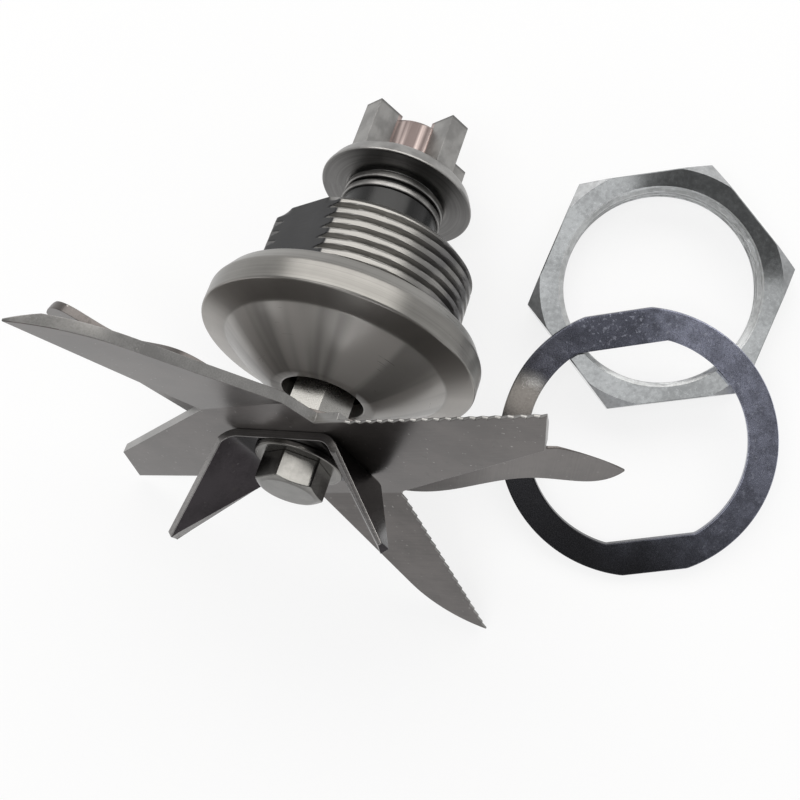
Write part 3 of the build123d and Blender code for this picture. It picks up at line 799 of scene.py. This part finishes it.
level_grain, lower_grain, upper_grain = math.radians(37.6), math.radians(90), math.radians(28)
spindle_steel = blade_metal(
    "spindle_steel", grey(0.36, 1.02, 0.95), grey(0.44, 1.02, 0.95),
    rough=(0.24, 0.32), grain_turn=0.0, stain=0.1, nicks=0.05,
)
blade_steel = blade_metal(
    "blade_steel", grey(0.072, 1.11, 0.95), grey(0.102, 1.11, 0.95),
    rough=(0.24, 0.36), grain_turn=level_grain, stain=0.4, metallic=0.7,
)
lower_blade_steel = blade_metal(
    "lower_blade_steel", grey(0.087, 1.1, 0.95), grey(0.122, 1.1, 0.95),
    rough=(0.24, 0.36), grain_turn=lower_grain, stain=0.4, metallic=0.7,
)
sheared_steel = blade_metal(
    "sheared_steel", grey(0.21, 1.02, 0.97), grey(0.29, 1.02, 0.97),
    rough=(0.26, 0.38), grain_turn=level_grain, stain=0.2,
)
polished_blade_steel = blade_metal(
    "polished_blade_steel", grey(0.022, 1.12, 1.08), grey(0.038, 1.12, 1.08),
    rough=(0.12, 0.22), grain_turn=upper_grain, stain=0.3, nicks=0.08,
)
edge_steel = blade_metal(
    "edge_steel", grey(0.17, 1.04, 0.98), grey(0.26, 1.04, 0.98),
    rough=(0.2, 0.32), grain_turn=upper_grain, stain=0.2,
)

zinc_nut = zinc_metal("zinc_nut", grey(0.25, 0.97, 1.01), grey(0.38, 0.97, 1.01), rough=(0.05, 0.1), pit=0.02)
zinc_chamfer = zinc_metal(
    "zinc_chamfer", grey(0.32, 0.98, 1.02), grey(0.47, 0.98, 1.02),
    rough=(0.3, 0.42), pit=0.03, metallic=0.75,
)
zinc_bore = zinc_metal(
    "zinc_bore", grey(0.50, 0.98, 1.0), grey(0.72, 0.98, 1.0),
    rough=(0.28, 0.4), pit=0.03, metallic=0.6,
)

sleeve_plastic = moulded(
    "sleeve_plastic", grey(0.010), grey(0.018), rough=(0.16, 0.28), grain_per_mm=0.9, relief=0.03,
)
seal_rubber = moulded(
    "seal_rubber", grey(0.015), grey(0.03), rough=(0.5, 0.7), grain_per_mm=1.5, relief=0.1,
)

node_finishes = {
    "bearing_housing": turned_steel,
    "blade_bearing_outer_ring": bearing_steel,
    "drive_bearing_outer_ring": bearing_steel,
    "outer_spacer": bearing_steel,
    "circlip": spring_steel,
    "drive_shield": spring_steel,
    "nose_seal": seal_rubber,
    "retaining_nut": zinc_nut,
    "keyed_washer": zinc_washer,
    "spindle": spindle_steel,
    "blade_bearing_inner_ring": bearing_steel,
    "drive_bearing_inner_ring": bearing_steel,
    "inner_spacer": bearing_steel,
    "blade_bearing_balls": bearing_steel,
    "drive_bearing_balls": bearing_steel,
    "lower_blade": lower_blade_steel,
    "cross_blade": blade_steel,
    "upper_blade": polished_blade_steel,
    "clamp_washer": clamp_steel,
    "cap_nut": fastener_steel,
    "neck_sleeve": sleeve_plastic,
    "drive_coupling": coupling_steel,
}
for node, finish in node_finishes.items():
    materials = frame["nodes"][node].data.materials
    materials.clear()
    materials.append(finish)


# Pieces

def settle(piece, body, node):
    """Gives a piece its body and its node's finish, and lets it stand for the node. Flat faces shade flat."""
    weighted = piece.modifiers.new("flat_faces", "WEIGHTED_NORMAL")
    weighted.keep_sharp = True
    piece.data.materials.clear()
    piece.data.materials.append(node_finishes[node])
    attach(piece, body)
    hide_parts(node)


def second_finish(piece, finish, chosen):
    """Gives some faces of a piece another finish."""
    piece.data.materials.append(finish)
    for face in piece.data.polygons:
        if chosen(face):
            face.material_index = len(piece.data.materials) - 1


# Bearing housing: the turned profile with a true helical thread, and the two milled flats
rows_per_thread = 14
thread_rows = rows_per_thread * round((thread_end - thread_start) / thread_pitch)
cone_steps = 10
swell_out, swell_up = 0.53, 0.85
cone_rows = []
for step in range(1, cone_steps):
    share = step / cone_steps
    swell = crown_swell * 4 * share * (1 - share)
    cone_rows.append((crown_radius + (nose_radius - crown_radius) * share + swell_out * swell,
                      crown_height + (nose_height - crown_height) * share + swell_up * swell, 0.0))
housing_rest = eased([
    (thread_radius, thread_end, 0.0), (thread_radius, 0.0, 0.12), (seat_radius, 0.0, 0.25),
    (flange_radius, flange_bevel, 0.3), (flange_radius, flange_height, 0.35),
    (crown_radius, crown_height, 0.3), *cone_rows,
    (nose_radius, nose_height, 0.35), (nose_bore_radius, nose_height, 0.4),
    (nose_bore_radius, seal_pocket_end, 0.1), (seal_pocket_radius, seal_pocket_end, 0.0),
    (seal_pocket_radius, bearing_shoulder, 0.0), (bearing_seat_radius, bearing_shoulder, 0.0),
    (bearing_seat_radius, shank_end, 0.3), (shank_mouth_radius, shank_end, 0.0),
])[1:-1]


def housing_section(angle):
    """The housing's outline at an angle: the thread's flanks climb with it, and the flats trim the shank."""
    section = [(shank_mouth_radius, shank_end)]
    for row in range(thread_rows + 1):
        height = thread_start + (thread_end - thread_start) * row / thread_rows
        depth = thread_depth_at(angle, height) * min(1.0, (thread_end - height) / thread_fade)
        mouth_bevel = min(thread_radius, shank_mouth_radius + (height - shank_end))
        flank = thread_radius - depth * (thread_radius - thread_root_radius)
        section.append((min(mouth_bevel, flank), height))
    trim = flat_reach(shank_flat_half, angle - shank_flat_turn)
    trimmed = []
    for radius, height in section + housing_rest:
        outside = bearing_seat_radius + shank_wall_least < radius <= thread_radius + outline_gap
        trimmed.append((min(radius, trim) if outside and height <= 0.0 else radius, height))
    return trimmed


housing = standing(swept("housing_body", housing_section, segments=320), shaft_place)
settle(housing, "housing", "bearing_housing")

# Neck sleeve
sleeve_outline = eased([
    (sleeve_bore_radius, hub_start, 0.0), (sleeve_radius, hub_start, 0.2),
    (sleeve_radius, sleeve_start, 0.2), (sleeve_bore_radius, sleeve_start, 0.0),
])
sleeve = standing(swept("sleeve_body", lambda angle: sleeve_outline, segments=128), shaft_place)
settle(sleeve, "rotor", "neck_sleeve")

# Drive coupling: grooved hub, plate and boss turned in one, with the fins standing on the plate
hub_outline = [(stud_bore_radius, hub_start, 0.1), (hub_radius, hub_start, 0.25)]
for ring in range(hub_rings):
    ring_end = hub_start - ring * (hub_ring_width + hub_groove_width) - hub_ring_width
    hub_outline += [
        (hub_radius, ring_end, 0.3), (hub_radius - hub_groove_depth, ring_end, 0.1),
        (hub_radius - hub_groove_depth, ring_end - hub_groove_width, 0.1),
    ]
    if ring < hub_rings - 1:
        hub_outline.append((hub_radius, ring_end - hub_groove_width, 0.3))
coupling_outline = eased(hub_outline + [
    (plate_radius, plate_start, 0.7), (plate_drive_radius, plate_end, 0.9), (boss_radius, plate_end, 0.3),
    (boss_radius, boss_end, 0.5), (0.0, boss_end, 0.0), (0.0, stud_bore_end, 0.0),
    (stud_bore_radius, stud_bore_end, 0.0),
])


def add_fin(form, turn):
    """Adds a fin to the coupling's form: a bar sunk in the boss and the plate, with its edges broken."""
    half = fin_thickness / 2
    outline = ((fin_root, -half), (fin_radius, -half), (fin_radius, half), (fin_root, half))
    place = Matrix.Rotation(turn, 4, "Z")
    corners = [form.verts.new(place @ Vector((x, y, z)) * MM)
               for z in (fin_end, fin_foot) for x, y in outline]
    walls = [(side, (side + 1) % 4, (side + 1) % 4 + 4, side + 4) for side in range(4)]
    faces = [form.faces.new([corners[point] for point in points])
             for points in ((0, 3, 2, 1), (4, 5, 6, 7), *walls)]
    break_edges(form, list(dict.fromkeys(edge for face in faces for edge in face.edges)), fin_edge_break)


coupling_mesh = swept("coupling_body", lambda angle: coupling_outline, segments=160)
coupling_form = bmesh.new()
coupling_form.from_mesh(coupling_mesh)
for fin in range(fin_count):
    add_fin(coupling_form, fin_turn + 2 * math.pi * fin / fin_count)
coupling_form.to_mesh(coupling_mesh)
coupling_form.free()
coupling = standing(cleaned(coupling_mesh, turned_sharp), shaft_place)
settle(coupling, "rotor", "drive_coupling")

# Spindle and blades: the solids' own forms, the blades reshaped at their edges, all with broken corners
spindle = broken_edges("spindle_body", "spindle", spindle_edge_break)
settle(spindle, "rotor", "spindle")
cross_piece = broken_edges("cross_blade_body", "cross_blade", blade_edge_break, reshape=part_toothed)
settle(cross_piece, "rotor", "cross_blade")
lower_piece = broken_edges("lower_blade_body", "lower_blade", blade_edge_break, reshape=half_toothed)
settle(lower_piece, "rotor", "lower_blade")
upper_piece = broken_edges("upper_blade_body", "upper_blade", upper_edge_break, upper_sharp, ground)
settle(upper_piece, "rotor", "upper_blade")

# The cross blade's sheared walls and the upper blade's sides and ground edges are paler than their faces
wall_lean = 0.5
second_finish(cross_piece, sheared_steel, lambda face: abs(face.normal.dot(shaft_way)) < wall_lean)
upper_across = shaft_place.to_3x3() @ Vector((math.cos(upper_turn), math.sin(upper_turn), 0))
edge_lean = 0.28
second_finish(upper_piece, edge_steel, lambda face: abs(face.normal.dot(upper_across)) > edge_lean)

# Clamp washer
clamp_outline = eased([
    (clamp_bore_radius, clamp_start, 0.1), (clamp_radius, clamp_start, 0.15),
    (clamp_radius, clamp_end, 0.3), (clamp_bore_radius, clamp_end, 0.1),
])
clamp = standing(swept("clamp_ring", lambda angle: clamp_outline, segments=96), shaft_place)
settle(clamp, "rotor", "clamp_washer")


# Cap nut

def cap_section(angle):
    """The cap nut's outline: hexagon sides cut back by the round chamfer of its end."""
    side = hex_reach(cap_flat_half, angle - cap_turn)
    corner = cap_flat_half / math.cos(math.pi / 6)
    shoulder = cap_flat_half - cap_crown
    drop = (side - shoulder) * cap_crown / (corner - shoulder)
    return eased([
        (cap_bore_radius, clamp_end, 0.0), (side, clamp_end, 0.12), (side, cap_end - drop, 0.15),
        (shoulder, cap_end, 0.2), (0.0, cap_end, 0.0), (0.0, cap_bore_end, 0.0),
        (cap_bore_radius, cap_bore_end, 0.0),
    ])


cap = standing(swept("cap_nut_body", cap_section, segments=120, sharp=cap_sharp), shaft_place)
settle(cap, "rotor", "cap_nut")

# Retaining nut: chamfered hexagon with a thread cut through it
nut_rows = 48


def nut_section(angle):
    """The nut's outline at an angle, from the chamfered faces to the thread inside."""
    side = hex_reach(nut_flat_half, angle)
    corner = nut_flat_half / math.cos(math.pi / 6)
    drop = max(nut_edge_break, (side - nut_face_radius) * nut_edge_drop / (corner - nut_face_radius))
    face = min(side - nut_edge_break, nut_face_radius)
    outline = [(face, 0.0), (side, drop), (side, nut_height - drop), (face, nut_height)]
    for row in range(nut_rows + 1):
        height = nut_height * (1 - row / nut_rows)
        entry = max(0.0, nut_entry_depth - min(height, nut_height - height)) * nut_entry_flare
        cut = (1 - thread_depth_at(angle, height)) * (nut_bore_root_radius - nut_bore_radius)
        outline.append((nut_bore_radius + max(cut, entry), height))
    return outline


nut = standing(swept("nut_body", nut_section, segments=288, sharp=nut_sharp), nut_place)
settle(nut, "housing", "retaining_nut")

# The nut's chamfers and its bore are duller than its faces
nut_entry_radius = nut_bore_radius + nut_entry_depth * nut_entry_flare
chamfer_lean, bore_lean = 0.3, 0.95


def off_nut_axis(face):
    """How far a face of the nut lies from the nut's axis."""
    return (face.center - nut_place.translation).xy.length / MM


second_finish(nut, zinc_chamfer,
              lambda face: off_nut_axis(face) > nut_face_radius and abs(face.normal.z) > chamfer_lean)
second_finish(nut, zinc_bore,
              lambda face: off_nut_axis(face) < nut_entry_radius and abs(face.normal.z) < bore_lean)


# Keyed washer: a stamped ring leaning on the nut

def washer_section(angle):
    """The washer's outline at an angle, rolled over on its upper edges as a press leaves it."""
    outer = min(washer_radius, flat_reach(washer_flat_half, angle - math.pi / 2))
    inner = min(washer_hole_radius, flat_reach(washer_hole_flat_half, angle - math.pi / 2))
    return eased([
        (inner, 0.0, 0.08), (outer, 0.0, 0.08),
        (outer, washer_thickness, 0.3), (inner, washer_thickness, 0.22),
    ])


washer = standing(swept("washer_body", washer_section, segments=240), washer_place)
settle(washer, "housing", "keyed_washer")

# The room, in metres from here on. Its floor is white to the camera and in the metal, and keeps the shadow
floor_reach = 1.6
floor_drop = 0.0002
floor_glow = 0.8
floor_sides = ((-1, -1), (1, -1), (1, 1), (-1, 1))
floor_corners = [(x * floor_reach, y * floor_reach, -floor_drop) for x, y in floor_sides]
floor_mesh = bpy.data.meshes.new("floor")
floor_mesh.from_pydata(floor_corners, [], [(0, 1, 2, 3)])
floor = bpy.data.objects.new("floor", floor_mesh)
scene.collection.objects.link(floor)
white = Finish(bpy.data.materials.new("floor_white"))
rays = white.node("ShaderNodeLightPath").socket.node.outputs
seen = Value(white, rays["Is Camera Ray"])
mirrored = Value(white, rays["Is Glossy Ray"]) + Value(white, rays["Is Transmission Ray"])
paper = white.node("ShaderNodeBsdfDiffuse", None, {"Color": grey(0.97)})
glow = white.node("ShaderNodeEmission", None, {"Color": grey(1.0), "Strength": 1.0})
shown = white.node("ShaderNodeMixShader", None, {0: (seen + mirrored) * floor_glow, 1: paper, 2: glow})
white.node("ShaderNodeOutputMaterial", None, {"Surface": shown})
floor_mesh.materials.append(white.owner)

# World: bright round the horizon and darker overhead
dome_stops = [(0.0, grey(0.6)), (0.5, grey(0.9)), (0.66, grey(0.62)), (0.85, grey(0.3)), (1.0, grey(0.2))]
scene.world = bpy.data.worlds.new("studio")
sky = Finish(scene.world)
sky_up = sky.parts(sky.node("ShaderNodeTexCoord", output="Generated"))[2]
dome = sky.node("ShaderNodeValToRGB", {"stops": dome_stops}, {0: sky_up * 0.5 + 0.5})
air = sky.node("ShaderNodeBackground", None, {"Color": dome, "Strength": 1.0})
sky.node("ShaderNodeOutputWorld", None, {"Surface": air})


def softbox(name, place, target, size, power, tint=(1.0, 1.0, 1.0)):
    """A plain soft lamp, facing its target."""
    light = bpy.data.lights.new(name, "AREA")
    light.shape = "RECTANGLE"
    light.size, light.size_y = size
    light.energy, light.color = power, tint
    lamp = bpy.data.objects.new(name, light)
    scene.collection.objects.link(lamp)
    lamp.location = place
    lamp.rotation_mode = "QUATERNION"
    lamp.rotation_quaternion = (Vector(target) - Vector(place)).to_track_quat("-Z", "Y")


def ceiling_softbox(name, x, y, size, power, ceiling=0.8):
    """A lamp that looks straight down from the ceiling, mirrored in the faces of the nut and the washer."""
    softbox(name, (x, y, ceiling), (x, y, 0.0), size, power)


unit_middle = (0.0, 0.0, 0.03)
softbox("north_window", (0.12, 0.68, 0.58), unit_middle, size=(1.5, 0.5), power=6.6, tint=(1.0, 0.985, 0.96))
ceiling_softbox("ceiling_panel", -0.27, -0.06, size=(0.5, 0.52), power=1.7)
ceiling_softbox("west_panel", 0.02, 0.11, size=(0.13, 0.3), power=0.135)
ceiling_softbox("east_panel", 0.18, 0.04, size=(0.19, 0.16), power=0.1)
ceiling_softbox("washer_panel", -0.06, -0.285, size=(0.09, 0.09), power=0.15)
softbox("south_fill", (0.1, -0.85, 0.3), unit_middle, size=(0.9, 0.3), power=0.8, tint=(0.96, 0.96, 1.0))

# Camera, at the photograph's angle
camera_place = Vector((0.02289, -0.01266, 0.22399))
camera_sight = Vector((-0.1326, 0.0330, -0.9906)).normalized()
camera_level = Vector((0.9912, 0.0058, -0.1325))
camera_across = (camera_level - camera_sight * camera_level.dot(camera_sight)).normalized()
camera_data = bpy.data.cameras.new("camera")
camera_data.sensor_width = 36.0
camera_data.lens = 54.0
camera_data.clip_start = 0.01
camera = bpy.data.objects.new("camera", camera_data)
scene.collection.objects.link(camera)
camera_axes = Matrix((camera_across, camera_across.cross(camera_sight), -camera_sight)).transposed()
camera.matrix_world = camera_axes.to_4x4()
camera.matrix_world.translation = camera_place
scene.camera = camera
scene.view_settings.view_transform = "Standard"
